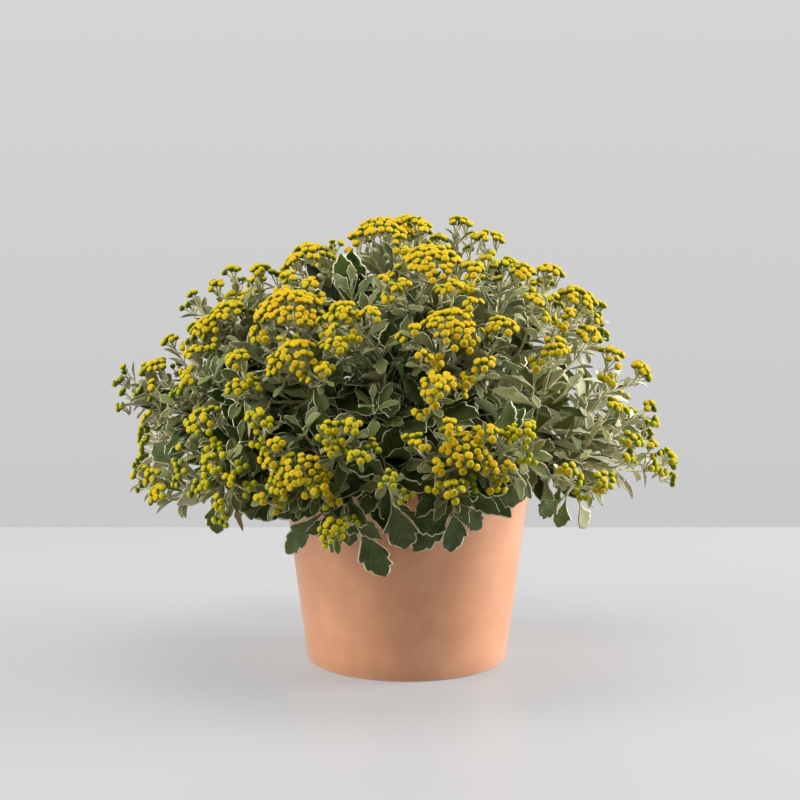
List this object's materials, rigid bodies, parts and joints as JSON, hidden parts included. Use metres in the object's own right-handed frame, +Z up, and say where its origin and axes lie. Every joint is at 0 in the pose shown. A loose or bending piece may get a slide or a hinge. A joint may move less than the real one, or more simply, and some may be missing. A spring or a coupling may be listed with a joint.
{
  "type": "potted gold and silver chrysanthemum",
  "caption": "Bushy garden plant with small golden button flowers in dense bunches over silver-edged lobed leaves, in a plain tapered terracotta pot.",
  "frame": {"origin": "centre of the pot's foot, on the surface that the pot stands on", "axes": "+Z up along the pot's axis, -Y towards the front that the picture shows, +X to its right"},
  "size_m": [0.3338, 0.3082, 0.2625],
  "materials": {
    "terracotta": "matte",
    "soil": "matte",
    "leaves": "matte",
    "flower_heads": "matte"
  },
  "bodies": {
    "root": {"pot": "terracotta", "soil": "soil", "leafy_stem_01": "leaves", "leafy_stem_02": "leaves", "leafy_stem_03": "leaves", "leafy_stem_04": "leaves", "leafy_stem_05": "leaves", "leafy_stem_06": "leaves", "leafy_stem_07": "leaves", "leafy_stem_08": "leaves", "leafy_stem_09": "leaves", "leafy_stem_10": "leaves", "leafy_stem_11": "leaves", "leafy_stem_12": "leaves", "leafy_stem_13": "leaves", "leafy_stem_14": "leaves", "leafy_stem_15": "leaves", "leafy_stem_16": "leaves", "flower_spray_01": "flower_heads", "flower_spray_02": "flower_heads", "flower_spray_03": "flower_heads", "flower_spray_04": "flower_heads", "flower_spray_05": "flower_heads", "flower_spray_06": "flower_heads", "flower_spray_07": "flower_heads", "flower_spray_08": "flower_heads", "flower_spray_09": "flower_heads", "flower_spray_10": "flower_heads", "flower_spray_11": "flower_heads", "flower_spray_12": "flower_heads", "flower_spray_13": "flower_heads", "flower_spray_14": "flower_heads", "flower_spray_15": "flower_heads", "flower_spray_16": "flower_heads", "flower_spray_17": "flower_heads", "flower_spray_18": "flower_heads", "flower_spray_19": "flower_heads", "flower_spray_20": "flower_heads", "flower_spray_21": "flower_heads", "flower_spray_22": "flower_heads", "flower_spray_23": "flower_heads", "flower_spray_24": "flower_heads", "flower_spray_25": "flower_heads", "flower_spray_26": "flower_heads", "flower_spray_27": "flower_heads", "flower_spray_28": "flower_heads", "flower_spray_29": "flower_heads", "flower_spray_30": "flower_heads", "flower_spray_31": "flower_heads", "flower_spray_32": "flower_heads", "flower_spray_33": "flower_heads", "flower_spray_34": "flower_heads", "flower_spray_35": "flower_heads", "flower_spray_36": "flower_heads", "flower_spray_37": "flower_heads", "flower_spray_38": "flower_heads", "flower_spray_39": "flower_heads", "flower_spray_40": "flower_heads", "flower_spray_41": "flower_heads", "flower_spray_42": "flower_heads"}
  },
  "joints": []
}
